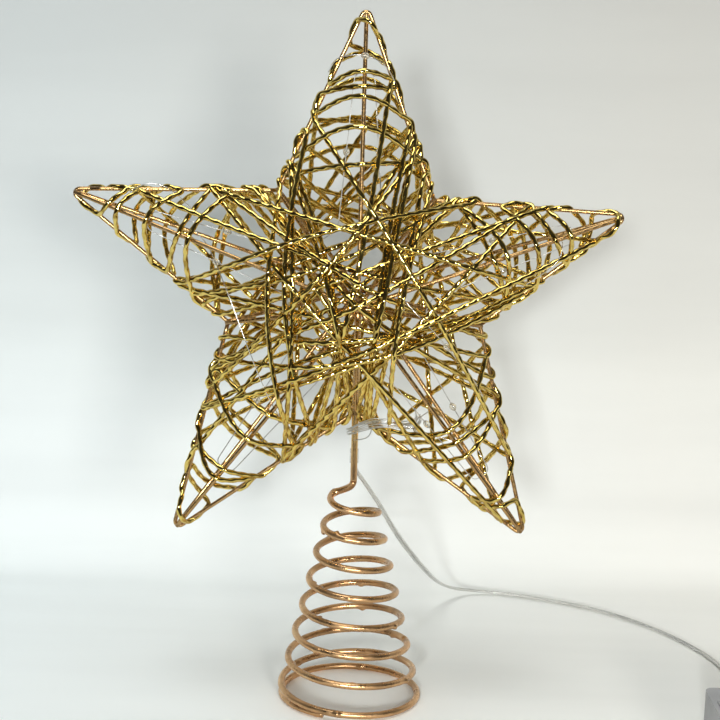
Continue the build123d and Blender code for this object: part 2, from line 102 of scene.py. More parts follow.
# The room's own light, and the lamps by name, place, size, power and colour
ROOM_STRENGTH = 0.42
LAMPS = (
    ("left_front", (-0.17, -1.50, 0.36), 0.11, 14.2, (0.94, 0.985, 1.0)),
    ("right_front", (0.40, -1.50, 0.32), 0.24, 13.5, (1.0, 0.97, 0.915)),
    ("ceiling", (-0.10, -0.25, 1.30), 0.60, 6.2, (0.97, 1.0, 1.0)),
)


class StarSettings(bpy.types.PropertyGroup):
    """Sizes and colours of the wire star and its stem."""
    tip_radius: bpy.props.FloatProperty(
        name="Tip radius", description="Centre to the outline's corner on a middling arm",
        default=0.107, unit="LENGTH")
    notch_radius: bpy.props.FloatProperty(
        name="Notch radius", description="Centre to a middling notch between two arms",
        default=0.045, unit="LENGTH")
    wire: bpy.props.FloatProperty(
        name="Wire", description="Diameter of the frame wire", default=0.0015, unit="LENGTH")
    bend: bpy.props.FloatProperty(
        name="Tip bend", description="Radius of the bend at a tip", default=0.0016, unit="LENGTH")
    stem_wire: bpy.props.FloatProperty(
        name="Stem wire", description="Diameter of the stem and spring wire", default=0.0025, unit="LENGTH")
    wire_colour: bpy.props.FloatVectorProperty(
        name="Wire colour", description="Copper gold of the frame",
        subtype="COLOR", default=(0.50, 0.31, 0.13))
    stem_colour: bpy.props.FloatVectorProperty(
        name="Stem colour", description="Gold of the stem's upper end",
        subtype="COLOR", default=(0.78, 0.54, 0.23))


class CordSettings(bpy.types.PropertyGroup):
    """Sizes and colours of the gold cord and how it is wound."""
    diameter: bpy.props.FloatProperty(
        name="Diameter", description="Across the twisted cord", default=0.0020, unit="LENGTH")
    lay: bpy.props.FloatProperty(
        name="Lay", description="Length of one full twist", default=0.0092, unit="LENGTH")
    groove: bpy.props.FloatProperty(
        name="Groove", description="Depth of the groove between the two plies, as a share", default=0.20)
    step: bpy.props.FloatProperty(
        name="Step", description="Spacing of the rings along the cord", default=0.00055, unit="LENGTH")
    soften: bpy.props.FloatProperty(
        name="Soften", description="How roundly the cord turns over an edge", default=0.0013, unit="LENGTH")
    out_strands: bpy.props.IntProperty(
        name="Outward strands", description="Strands from the notches to an arm's tip", default=4)
    back_strands: bpy.props.IntProperty(
        name="Return strands", description="Strands from an arm's tip back to the notches", default=6)
    body_strands: bpy.props.IntProperty(
        name="Body strands", description="Strands across the middle, front and back by turns", default=32)
    long_strands: bpy.props.IntProperty(
        name="Long strands", description="Strands between a notch and the arm across it", default=34)
    seed: bpy.props.IntProperty(name="Seed", description="Choice of the hand-wound unevenness", default=11)
    bright_face_colour: bpy.props.FloatVectorProperty(
        name="Light gold", description="Bright face of the foil", subtype="COLOR", default=(0.76, 0.57, 0.16))
    shaded_face_colour: bpy.props.FloatVectorProperty(
        name="Deep gold", description="Shaded face of the foil",
        subtype="COLOR", default=(0.41, 0.265, 0.060))


class SpringSettings(bpy.types.PropertyGroup):
    """Sizes and colours of the conical spring."""
    top_radius: bpy.props.FloatProperty(
        name="Top radius", description="Radius of the first coil", default=0.0084, unit="LENGTH")
    base_radius: bpy.props.FloatProperty(
        name="Base radius", description="Radius of the foot", default=0.0259, unit="LENGTH")
    top_height: bpy.props.FloatProperty(
        name="Top height", description="Height at which the first coil starts", default=0.0764, unit="LENGTH")
    turns: bpy.props.FloatProperty(name="Turns", description="Working turns", default=7.25)
    closing_turns: bpy.props.FloatProperty(
        name="Closing turns", description="Part of a turn in which the wire comes to rest", default=0.25)
    foot_turns: bpy.props.FloatProperty(
        name="Foot turns", description="Dead turn on the ground", default=0.69)
    drips: bpy.props.IntProperty(name="Drips", description="Small lumps of lacquer on the wire", default=34)
    colour: bpy.props.FloatVectorProperty(
        name="Colour", description="Copper lacquer", subtype="COLOR", default=(0.54, 0.325, 0.16))
    worn_colour: bpy.props.FloatVectorProperty(
        name="Worn colour", description="Gold where the lacquer is thin",
        subtype="COLOR", default=(0.70, 0.48, 0.26))


class LightSettings(bpy.types.PropertyGroup):
    """Sizes and colours of the micro lights."""
    wire: bpy.props.FloatProperty(
        name="Wire", description="Diameter of the light wire", default=0.00036, unit="LENGTH")
    bead_radius: bpy.props.FloatProperty(
        name="Bead radius", description="Radius of a resin bead", default=0.0012, unit="LENGTH")
    bead_length: bpy.props.FloatProperty(
        name="Bead length", description="Length of a resin bead", default=0.0034, unit="LENGTH")
    wire_colour: bpy.props.FloatVectorProperty(
        name="Wire colour", description="Silvery lacquered wire", subtype="COLOR", default=(0.86, 0.85, 0.82))


class LeadSettings(bpy.types.PropertyGroup):
    """Sizes of the two-core lead."""
    width: bpy.props.FloatProperty(
        name="Width", description="Across both cores", default=0.0022, unit="LENGTH")
    core: bpy.props.FloatProperty(
        name="Core", description="Diameter of one jacketed core", default=0.00115, unit="LENGTH")
    strand: bpy.props.FloatProperty(
        name="Strand", description="Diameter of the bare conductor", default=0.00055, unit="LENGTH")
    lay: bpy.props.FloatProperty(
        name="Lay", description="Length in which the pair turns once", default=0.40, unit="LENGTH")


class BoxSettings(bpy.types.PropertyGroup):
    """Colours of the battery box."""
    shell_colour: bpy.props.FloatVectorProperty(
        name="Shell", description="Grey moulded plastic", subtype="COLOR", default=(0.33, 0.33, 0.34))
    dark_colour: bpy.props.FloatVectorProperty(
        name="Dark parts", description="Switch and gland", subtype="COLOR", default=(0.030, 0.030, 0.033))
    wrap_colour: bpy.props.FloatVectorProperty(
        name="Cell wrap", description="Printed sleeve of a cell", subtype="COLOR", default=(0.05, 0.06, 0.07))
    metal_colour: bpy.props.FloatVectorProperty(
        name="Contacts", description="Nickel-plated steel", subtype="COLOR", default=(0.62, 0.61, 0.58))


class StageSettings(bpy.types.PropertyGroup):
    """Camera, floor and light."""
    view_angle: bpy.props.FloatProperty(
        name="View angle", description="Across the square picture",
        default=math.radians(25.36), subtype="ANGLE")
    elevation: bpy.props.FloatProperty(
        name="Elevation", description="Camera above the horizon", default=math.radians(10.5), subtype="ANGLE")
    roll: bpy.props.FloatProperty(
        name="Roll", description="Camera about its own line of sight",
        default=math.radians(1.5), subtype="ANGLE")
    distance: bpy.props.FloatProperty(
        name="Distance", description="Camera to its target", default=0.5805, unit="LENGTH")
    target: bpy.props.FloatVectorProperty(
        name="Target", description="Point in the middle of the picture",
        subtype="XYZ", default=(0.0012, 0.0, 0.1283))
    wall: bpy.props.FloatProperty(
        name="Wall", description="Distance of the backdrop behind the star", default=0.215, unit="LENGTH")
    # The board's two colours hold painted light: a cool tint at the left, a warm tint at the right.
    cool_lit_paper_colour: bpy.props.FloatVectorProperty(
        name="Paper", description="Cool side of the board", subtype="COLOR", default=(0.95, 1.0, 1.0))
    warm_lit_paper_colour: bpy.props.FloatVectorProperty(
        name="Warm paper", description="Warm side of the board", subtype="COLOR", default=(0.95, 0.94, 0.89))


# Arrays


def unit(vectors):
    """Each vector divided by its own length."""
    return vectors / np.linalg.norm(vectors, axis=-1, keepdims=True)


def run_of(path):
    """Distance along a path at each of its points."""
    return np.concatenate(([0.0], np.cumsum(np.linalg.norm(np.diff(path, axis=0), axis=1))))


def evenly(path, step):
    """The same path with points an equal distance apart, by straight interpolation over its run."""
    run = run_of(path)
    stops = np.linspace(0, run[-1], max(3, int(round(run[-1] / step)) + 1))
    return np.stack([np.interp(stops, run, path[:, axis]) for axis in range(3)], axis=1)


def softened(path, step, width):
    """An even path averaged with a bell curve of this width along its run, with its two ends kept."""
    points = evenly(path, step)
    reach = max(1, int(round(3 * width / step)))
    bell = np.exp(-0.5 * (np.arange(-reach, reach + 1) * step / width) ** 2)
    bell /= bell.sum()
    before = 2 * points[0] - points[reach:0:-1]
    after = 2 * points[-1] - points[-2:-reach - 2:-1]
    padded = np.concatenate((before, points, after))
    return np.stack([np.convolve(padded[:, axis], bell, mode="valid") for axis in range(3)], axis=1)


def round_angles(sides):
    """Angles of a ring's points."""
    return np.linspace(0, 2 * np.pi, sides, endpoint=False)


def turned(first, second):
    """Product of two arrays of quaternions (w, x, y, z), second turn after first."""
    w2, v2 = second[:, :1], second[:, 1:]
    w1, v1 = first[:, :1], first[:, 1:]
    scalar = w2 * w1 - np.sum(v2 * v1, axis=1, keepdims=True)
    return np.concatenate((scalar, w2 * v1 + w1 * v2 + np.cross(v2, v1)), axis=1)


def carried_axes(path):
    """Two axes across a path that never spin about it.

    Each step has the least turn that takes one tangent to the next, and the turns are multiplied up
    along the path by doubling: every pass adds the product of twice as many steps.
    """
    tangent = unit(np.gradient(path, axis=0))
    turn = np.concatenate((1 + np.sum(tangent[1:] * tangent[:-1], axis=1, keepdims=True),
                           np.cross(tangent[:-1], tangent[1:])), axis=1)
    total = np.concatenate(([[1.0, 0.0, 0.0, 0.0]], unit(turn)))
    reach = 1
    while reach < len(total):
        total = np.concatenate((total[:reach], unit(turned(total[:-reach], total[reach:]))))
        reach *= 2
    least = np.eye(3)[np.argmin(np.abs(tangent[0]))]
    first = unit(np.cross(tangent[0], least))
    spin, axis = total[:, :1], total[:, 1:]
    swing = 2 * np.cross(axis, np.broadcast_to(first, axis.shape))
    across = unit(first + spin * swing + np.cross(axis, swing))
    return across, np.cross(tangent, across)


def skin(name, grids):
    """A mesh over grids (rings, sides, 3), each closed round its rings and capped at both ends."""
    points, corners, sizes, maps = [], [], [], []
    base = 0
    for grid in grids:
        rings, sides = grid.shape[:2]
        run = run_of(grid.mean(axis=1))
        rim = np.arange(sides)
        ring = np.arange(rings - 1)[:, None, None] + (0, 0, 1, 1)
        side = rim[None, :, None] + (0, 1, 1, 0)
        quads = base + ring * sides + side % sides
        lay = np.stack(np.broadcast_arrays(run[ring], side / sides), axis=-1)
        caps = np.concatenate((base + rim[::-1], base + (rings - 1) * sides + rim))
        ends = np.stack((np.repeat([0.0, run[-1]], sides), np.tile(rim / sides, 2)), axis=1)
        points.append(grid.reshape(-1, 3))
        corners += [quads.ravel(), caps]
        sizes += [np.full((rings - 1) * sides, 4), np.full(2, sides)]
        maps += [lay.reshape(-1, 2), ends]
        base += rings * sides
    points, corners, sizes, maps = (np.concatenate(part) for part in (points, corners, sizes, maps))
    mesh = bpy.data.meshes.new(name)
    mesh.vertices.add(len(points))
    mesh.vertices.foreach_set("co", points.astype(np.float32).ravel())
    mesh.loops.add(len(corners))
    mesh.loops.foreach_set("vertex_index", corners.astype(np.int32))
    mesh.polygons.add(len(sizes))
    mesh.polygons.foreach_set("loop_start", (np.cumsum(sizes) - sizes).astype(np.int32))
    mesh.update(calc_edges=True)
    mesh.polygons.foreach_set("use_smooth", np.ones(len(sizes), dtype=bool))
    mesh.uv_layers.new(name="Lay").data.foreach_set("uv", maps.astype(np.float32).ravel())
    mesh.validate()
    piece = bpy.data.objects.new(name, mesh)
    bpy.context.scene.collection.objects.link(piece)
    return piece


def skin_sheet(name, grid):
    """An open sheet over a grid of points, its upper side towards the camera."""
    rows, columns = grid.shape[:2]
    index = np.arange(rows * columns).reshape(rows, columns)
    quads = np.stack((index[:-1, :-1], index[:-1, 1:], index[1:, 1:], index[1:, :-1]), axis=-1).reshape(-1, 4)
    mesh = bpy.data.meshes.new(name)
    mesh.from_pydata(grid.reshape(-1, 3).tolist(), [], quads.tolist())
    mesh.polygons.foreach_set("use_smooth", np.ones(len(quads), dtype=bool))
    sheet = bpy.data.objects.new(name, mesh)
    bpy.context.scene.collection.objects.link(sheet)
    return sheet


def round_grid(path, radius, sides):
    """Rings across a path, of one radius or an array of them: centre + radius (across cos + up sin)."""
    across, up = carried_axes(path)
    angle = round_angles(sides)
    size = np.broadcast_to(np.asarray(radius, dtype=float), (len(path), sides))[..., None]
    ring = across[:, None] * np.cos(angle)[None, :, None] + up[:, None] * np.sin(angle)[None, :, None]
    return path[:, None] + size * ring


def cord_grid(path, diameter, lay, groove, sides=10):
    """Rings of a two-ply cord: the radius falls by the groove's share twice round and turns once a lay."""
    run = run_of(path)[:, None]
    angle = round_angles(sides)[None]
    radius = diameter / 2 * (1 - groove / 2 + groove / 2 * np.cos(2 * (angle - 2 * np.pi * run / lay)))
    return round_grid(path, radius, sides)


def bead_grid(centre, along, radius, length, rings=9, sides=12):
    """An egg of revolution about a direction: radius follows a half sine over its length."""
    share = np.linspace(0.02, 0.98, rings)
    path = centre + (share[:, None] - 0.5) * length * unit(np.asarray(along, dtype=float))
    return round_grid(path, (radius * np.sin(np.pi * share) ** 0.6)[:, None], sides)


def add_piece(name, grids, material, slot, body, *nodes):
    """A skinned piece with its material, its body and the CAD nodes that it stands for; the slot argument is
    not used.
    """
    piece = skin(name, grids)
    piece.data.materials.append(material)
    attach(piece, body)
    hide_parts(*nodes)
    return piece


def dress(material, *nodes):
    """Puts a material in place of the CAD nodes' own."""
    for node in nodes:
        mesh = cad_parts[node].data
        mesh.materials.clear()
        mesh.materials.append(material)


# The star's own geometry


def outward(angle):
    """Unit vector away from the star's centre in its plane, as (x, z) pairs."""
    return np.stack((np.cos(angle), np.sin(angle)), axis=-1)


def place(flat, depth=0.0):
    """Row-frame points from (x, z) pairs about the star's centre and a depth along Y."""
    flat = np.asarray(flat, dtype=float)
    depth = np.broadcast_to(np.asarray(depth, dtype=float), flat.shape[:-1])
    return np.stack((flat[..., 0], depth, flat[..., 1] + STAR_HEIGHT), axis=-1)


def tip_of(star, arm):
    """An arm's outer corner as (x, z) about the centre; arm may be an array, counted on past the last arm."""
    number = np.rint(arm).astype(int) % len(ARMS)
    return star.tip_radius * TIP_SHARES[number][..., None] * outward(ARM_ANGLES[number])


def notch_of(star, arm, side):
    """The notch on one side of an arm, +1 where the angle grows."""
    number = np.rint(arm + (np.asarray(side, dtype=float) - 1) / 2).astype(int) % len(ARMS)
    return star.notch_radius * NOTCH_SHARES[number][..., None] * outward(NOTCH_ANGLES[number])


def edge_point(star, arm, side, share):
    """A point by an arm's edge, at its share of the way from notch to tip, with the cord's stand off it."""
    notch = notch_of(star, arm, side)
    tip = tip_of(star, arm)
    along = unit(tip - notch)
    out = np.stack((-along[..., 1], along[..., 0]), axis=-1) * np.asarray(side, dtype=float)[..., None]
    return notch + (tip - notch) * np.asarray(share)[..., None] + out * EDGE_STAND


def face_depth(star, flat):
    """Depth of the star's faceted front above its own plane.

    It falls evenly from the apex to the outline, whose radius at an angle comes from the straight edge
    between the two corners, a tip and a notch, that the angle lies between.
    """
    radii = np.stack((star.tip_radius * TIP_SHARES, star.notch_radius * NOTCH_SHARES), axis=1).ravel()
    turn = (np.arctan2(flat[..., 1], flat[..., 0]) - CORNER_ANGLES[0]) % (2 * np.pi) + CORNER_ANGLES[0]
    before = np.searchsorted(CORNER_ANGLES, turn, side="right") - 1
    after = (before + 1) % len(CORNER_ANGLES)
    wide = (CORNER_ANGLES[after] - CORNER_ANGLES[before]) % (2 * np.pi)
    off = turn - CORNER_ANGLES[before]
    edge = np.sin(wide) / (np.sin(wide - off) / radii[before] + np.sin(off) / radii[after])
    return HALF_DEPTH * np.clip(1 - np.linalg.norm(flat, axis=-1) / edge, 0, None)


def laced_path(star, starts, ends, bows, lifts, bulges, first_face, samples=29):
    """A cord's path from edge to edge of the outline, over the front and the back by turns.

    Between two edges the cord is a straight or bowed line in the star's plane. Its height is the
    tightest string over the faceted surface below it: at each sample, the highest of all straight
    lines between a sample before and a sample after. A half sine lifts it off the wires. From the
    end of one strand to the start of the next the cord goes over the edge in an arch: a half sine
    outwards in the plane and a half cosine from one face to the other.
    """
    share = np.linspace(0, 1, samples)
    chord = (ends - starts)[:, None]
    inward = np.stack((-chord[..., 1], chord[..., 0]), axis=-1)
    flat = starts[:, None] + chord * share[None, :, None]
    flat = flat + inward * (bows[:, None] * np.sin(np.pi * share))[..., None]
    under = face_depth(star, flat)
    left, middle, right = np.meshgrid(*(np.arange(samples),) * 3, indexing="ij")
    held = (left <= middle) & (middle <= right) & (left < right)
    left, middle, right = left[held], middle[held], right[held]
    weight = (share[middle] - share[left]) / (share[right] - share[left])
    lines = under[:, left] * (1 - weight) + under[:, right] * weight
    taut = np.zeros_like(under)
    np.maximum.at(taut.T, middle, lines.T)
    face = np.where((np.arange(len(under)) + first_face) % 2, 1.0, -1.0)[:, None]
    depth = face * (taut + EDGE_LIFT + (lifts[:, None] - EDGE_LIFT) * np.sin(np.pi * share) ** 0.5)
    strands = place(flat, depth)
    arch = np.linspace(0, 1, 11)[1:-1]
    gap = (np.roll(starts, -1, axis=0) - ends)[:, None]
    centre = (np.roll(starts, -1, axis=0) + ends) / 2
    over = ends[:, None] + gap * arch[None, :, None]
    over = over + (bulges * np.sin(np.pi * arch)[None, :, None]) * unit(centre)[:, None]
    arches = place(over, face * EDGE_LIFT * np.cos(np.pi * arch))
    return np.concatenate((strands, arches), axis=1).reshape(-1, 3)[:-len(arch)]


# Materials


def blank_material(name):
    """A material with one principled shader, and its node tree."""
    material = bpy.data.materials.new(name)
    material.use_nodes = True
    tree = material.node_tree
    shader = next(node for node in tree.nodes if node.type == "BSDF_PRINCIPLED")
    return material, tree, shader


def set_inputs(node, **values):
    """Sets a node's sockets by name, with underscores for spaces."""
    for name, value in values.items():
        node.inputs[name.replace("_", " ")].default_value = value


def add_node(tree, kind, **values):
    """A new node with its sockets set by name."""
    node = tree.nodes.new(kind)
    set_inputs(node, **values)
    return node


def split(tree, vector):
    """The X, Y and Z outputs of a vector."""
    parts = tree.nodes.new("ShaderNodeSeparateXYZ")
    tree.links.new(vector, parts.inputs["Vector"])
    return parts.outputs


def own_axes(tree, source="Object"):
    """The X, Y and Z outputs of a piece's own coordinates."""
    return split(tree, tree.nodes.new("ShaderNodeTexCoord").outputs[source])


def noise(tree, scale, detail=3.0, stretch=(1, 1, 1)):
    """Noise on the piece's own coordinates, stretched by a Mapping node."""
    coordinates = tree.nodes.new("ShaderNodeTexCoord")
    mapping = add_node(tree, "ShaderNodeMapping", Scale=stretch)
    tree.links.new(coordinates.outputs["Object"], mapping.inputs["Vector"])
    texture = add_node(tree, "ShaderNodeTexNoise", Scale=scale, Detail=detail)
    tree.links.new(mapping.outputs["Vector"], texture.inputs["Vector"])
    return texture.outputs["Fac"]


def ramp(tree, factor, *stops):
    """Colours over a factor, from (position, colour) stops."""
    node = tree.nodes.new("ShaderNodeValToRGB")
    tree.links.new(factor, node.inputs["Fac"])
    elements = node.color_ramp.elements
    while len(elements) < len(stops):
        elements.new(0.5)
    for element, (position, colour) in zip(elements, stops):
        element.position = position
        element.color = (*colour, 1.0)
    return node.outputs["Color"]


def spread(tree, factor, low, high, start=0.3, end=0.7):
    """A factor's range taken to another range."""
    node = add_node(tree, "ShaderNodeMapRange", From_Min=start, From_Max=end, To_Min=low, To_Max=high)
    tree.links.new(factor, node.inputs["Value"])
    return node.outputs["Result"]


def coat(tree, shader, base, gloss, low, high):
    """Gives a shader its base colour and a roughness between two values by a factor."""
    tree.links.new(base, shader.inputs["Base Color"])
    tree.links.new(spread(tree, gloss, low, high), shader.inputs["Roughness"])


def add_bump(tree, shader, height, strength, distance):
    """Bump from a height output, in metres."""
    bump = add_node(tree, "ShaderNodeBump", Strength=strength, Distance=distance)
    tree.links.new(height, bump.inputs["Height"])
    tree.links.new(bump.outputs["Normal"], shader.inputs["Normal"])


def math_node(tree, operation, *values):
    """A Math node on outputs and numbers."""
    node = tree.nodes.new("ShaderNodeMath")
    node.operation = operation
    for socket, value in zip(node.inputs, values):
        if isinstance(value, bpy.types.NodeSocket):
            tree.links.new(value, socket)
        else:
            socket.default_value = value
    return node.outputs["Value"]


def mixed(tree, first, second):
    """Two colours multiplied."""
    node = tree.nodes.new("ShaderNodeMix")
    node.data_type = "RGBA"
    node.blend_type = "MULTIPLY"
    node.inputs["Factor"].default_value = 1.0
    colours = [socket for socket in node.inputs if socket.type == "RGBA"]
    tree.links.new(first, colours[0])
    tree.links.new(second, colours[1])
    return next(socket for socket in node.outputs if socket.type == "RGBA")


def open_behind(tree, shader):
    """Lets the view through a sheet's rear side, so that the stage hides nothing from behind."""
    output = next(node for node in tree.nodes if node.type == "OUTPUT_MATERIAL")
    clear = tree.nodes.new("ShaderNodeBsdfTransparent")
    sides = tree.nodes.new("ShaderNodeMixShader")
    geometry = tree.nodes.new("ShaderNodeNewGeometry")
    tree.links.new(geometry.outputs["Backfacing"], sides.inputs[0])
    tree.links.new(shader.outputs["BSDF"], sides.inputs[1])
    tree.links.new(clear.outputs["BSDF"], sides.inputs[2])
    tree.links.new(sides.outputs["Shader"], output.inputs["Surface"])


def tint(colour, share):
    """A colour made darker below one and lighter above, held under white."""
    return tuple(min(1.0, part * share) for part in colour)


def foil_material(cord):
    """Gold foil cord: fine plies that follow the twist, crinkled metal, and random patches of painted light
    and shade between a shaded deep gold and a bright gold.
    """
    material, tree, shader = blank_material("gold_foil")
    # Painted light and shade: random patches run from the shaded face's deep gold to a gold brighter than the
    # lit face's.
    base = ramp(tree, noise(tree, 260.0, 3.0), (0.34, tuple(cord.shaded_face_colour)),
                (0.50, tuple(cord.bright_face_colour)), (0.72, tint(cord.bright_face_colour, 1.10)))
    coat(tree, shader, base, noise(tree, 700.0, 2.0), 0.05, 0.13)
    lay = tree.nodes.new("ShaderNodeUVMap")
    lay.uv_map = "Lay"
    run_and_round = split(tree, lay.outputs["UV"])
    turn = math_node(tree, "MULTIPLY", run_and_round["X"], 1 / cord.lay)
    phase = math_node(tree, "SUBTRACT", run_and_round["Y"], turn)
    wave = math_node(tree, "COSINE", math_node(tree, "MULTIPLY", phase, 4 * math.pi))
    crinkle = math_node(tree, "MULTIPLY_ADD", wave, 0.35, noise(tree, 420.0, 2.0))
    add_bump(tree, shader, crinkle, 0.35, 0.0002)
    set_inputs(shader, Metallic=1.0)
    return material


def wire_material(name, colour, roughness, streak=0.8):
    """Drawn wire: satin metal with long faint streaks and fine drawing marks."""
    material, tree, shader = blank_material(name)
    base = ramp(tree, noise(tree, 160.0, 4.0), (0.30, tint(colour, streak)), (0.55, tuple(colour)),
                (0.80, tint(colour, 1.15)))
    coat(tree, shader, base, noise(tree, 700.0, 2.0), roughness * 0.8, roughness * 1.3)
    add_bump(tree, shader, noise(tree, 2200.0, 2.0), 0.15, 0.0001)
    set_inputs(shader, Metallic=1.0)
    return material


def lacquer_material(spring):
    """Copper lacquer on wire: gold where it is thin, dark in the runs, satin with dull patches."""
    material, tree, shader = blank_material("copper_lacquer")
    base = ramp(tree, noise(tree, 95.0, 5.0), (0.28, tint(spring.colour, 0.62)), (0.46, tuple(spring.colour)),
                (0.60, tint(spring.colour, 1.2)), (0.74, tuple(spring.worn_colour)))
    coat(tree, shader, base, noise(tree, 240.0, 4.0), 0.20, 0.40)
    add_bump(tree, shader, noise(tree, 900.0, 4.0), 0.35, 0.0003)
    set_inputs(shader, Metallic=0.95)
    return material


def stem_material(star, spring):
    """Stem lacquer: the spring's copper at its lower end runs into gold towards the star."""
    material, tree, shader = blank_material("stem_lacquer")
    height = spread(tree, own_axes(tree)["Z"], 0.0, 1.0, STEM_BOTTOM, STAR_HEIGHT)
    base = ramp(tree, height, (0.05, tuple(spring.colour)), (0.30, tuple(star.stem_colour)),
                (1.0, tuple(star.wire_colour)))
    coat(tree, shader, base, noise(tree, 240.0, 4.0), 0.16, 0.28)
    add_bump(tree, shader, noise(tree, 620.0, 4.0), 0.10, 0.0002)
    set_inputs(shader, Metallic=0.95)
    return material


def clear_material(name, colour, roughness):
    """Clear resin or soft plastic with faint clouding."""
    material, tree, shader = blank_material(name)
    base = ramp(tree, noise(tree, 500.0, 2.0), (0.35, tint(colour, 0.92)), (0.65, tuple(colour)))
    coat(tree, shader, base, noise(tree, 800.0, 2.0), roughness * 0.7, roughness * 1.4)
    set_inputs(shader, Transmission_Weight=0.85, IOR=1.47)
    return material


def plastic_material(name, colour, roughness, grain):
    """Moulded plastic: a spark-eroded grain and slight blotches in its gloss."""
    material, tree, shader = blank_material(name)
    base = ramp(tree, noise(tree, 45.0, 5.0), (0.30, tint(colour, 0.90)), (0.70, tint(colour, 1.06)))
    coat(tree, shader, base, noise(tree, 120.0, 3.0), roughness * 0.85, roughness * 1.2)
    add_bump(tree, shader, noise(tree, 2600.0, 2.0), grain, 0.0002)
    set_inputs(shader, IOR=1.49)
    return material


def plated_material(name, colour, roughness):
    """Plated sheet with brushing along X and dull spots."""
    material, tree, shader = blank_material(name)
    brushed = noise(tree, 300.0, 3.0, (1, 14, 14))
    base = ramp(tree, brushed, (0.30, tint(colour, 0.75)), (0.70, tint(colour, 1.1)))
    coat(tree, shader, base, noise(tree, 500.0, 3.0), roughness * 0.8, roughness * 1.4)
    add_bump(tree, shader, brushed, 0.2, 0.0001)
    set_inputs(shader, Metallic=1.0)
    return material


def cell_material(box):
    """A cell's sleeve: dark wrap with a copper band at one end and bare steel on the end faces."""
    material, tree, shader = blank_material("cell_sleeve")
    low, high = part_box("left_cell")
    along = spread(tree, own_axes(tree)["Y"], 0.0, 1.0, float(low[1]), float(high[1]))
    metal = tuple(box.metal_colour)
    wrap = tuple(box.wrap_colour)
    band = (0.52, 0.24, 0.09)
    base = ramp(tree, along, (0.022, metal), (0.024, wrap), (0.76, wrap), (0.762, band), (0.972, band),
                (0.974, metal))
    coat(tree, shader, base, noise(tree, 200.0, 3.0), 0.22, 0.34)
    set_inputs(shader, Metallic=0.55)
    return material


def paper_material(stage):
    """Pale board with painted light: a painted cool light at the left and a painted warm light at the right,
    painted shade that makes it greyer with height, faintly mottled along X.
    """
    material, tree, shader = blank_material("pale_board")
    axes = own_axes(tree)
    # Painted light: the board's colour runs from a cool tint at the left to a warm tint at the right.
    across = spread(tree, axes["X"], 0.0, 1.0, -0.15, 0.15)
    painted_light_tint = ramp(tree, across, (0.0, tuple(stage.cool_lit_paper_colour)), (1.0, tuple(stage.warm_lit_paper_colour)))
    # Painted shade: white at the floor, greyer up the wall.
    height = spread(tree, axes["Z"], 0.0, 1.0, 0.0, 0.30)
    level = ramp(tree, height, (0.0, (1.0,) * 3), (0.08, (0.78,) * 3), (0.35, (0.66,) * 3),
                 (1.0, (0.515,) * 3))
    grain = ramp(tree, noise(tree, 9.0, 4.0, (0.5, 4.0, 4.0)), (0.35, (0.965,) * 3), (0.65, (1.0,) * 3))
    shaded = mixed(tree, mixed(tree, painted_light_tint, level), grain)
    tree.links.new(shaded, shader.inputs["Base Color"])
    set_inputs(shader, Roughness=0.85, Specular_IOR_Level=0.15)
    open_behind(tree, shader)
    return material


# Operators


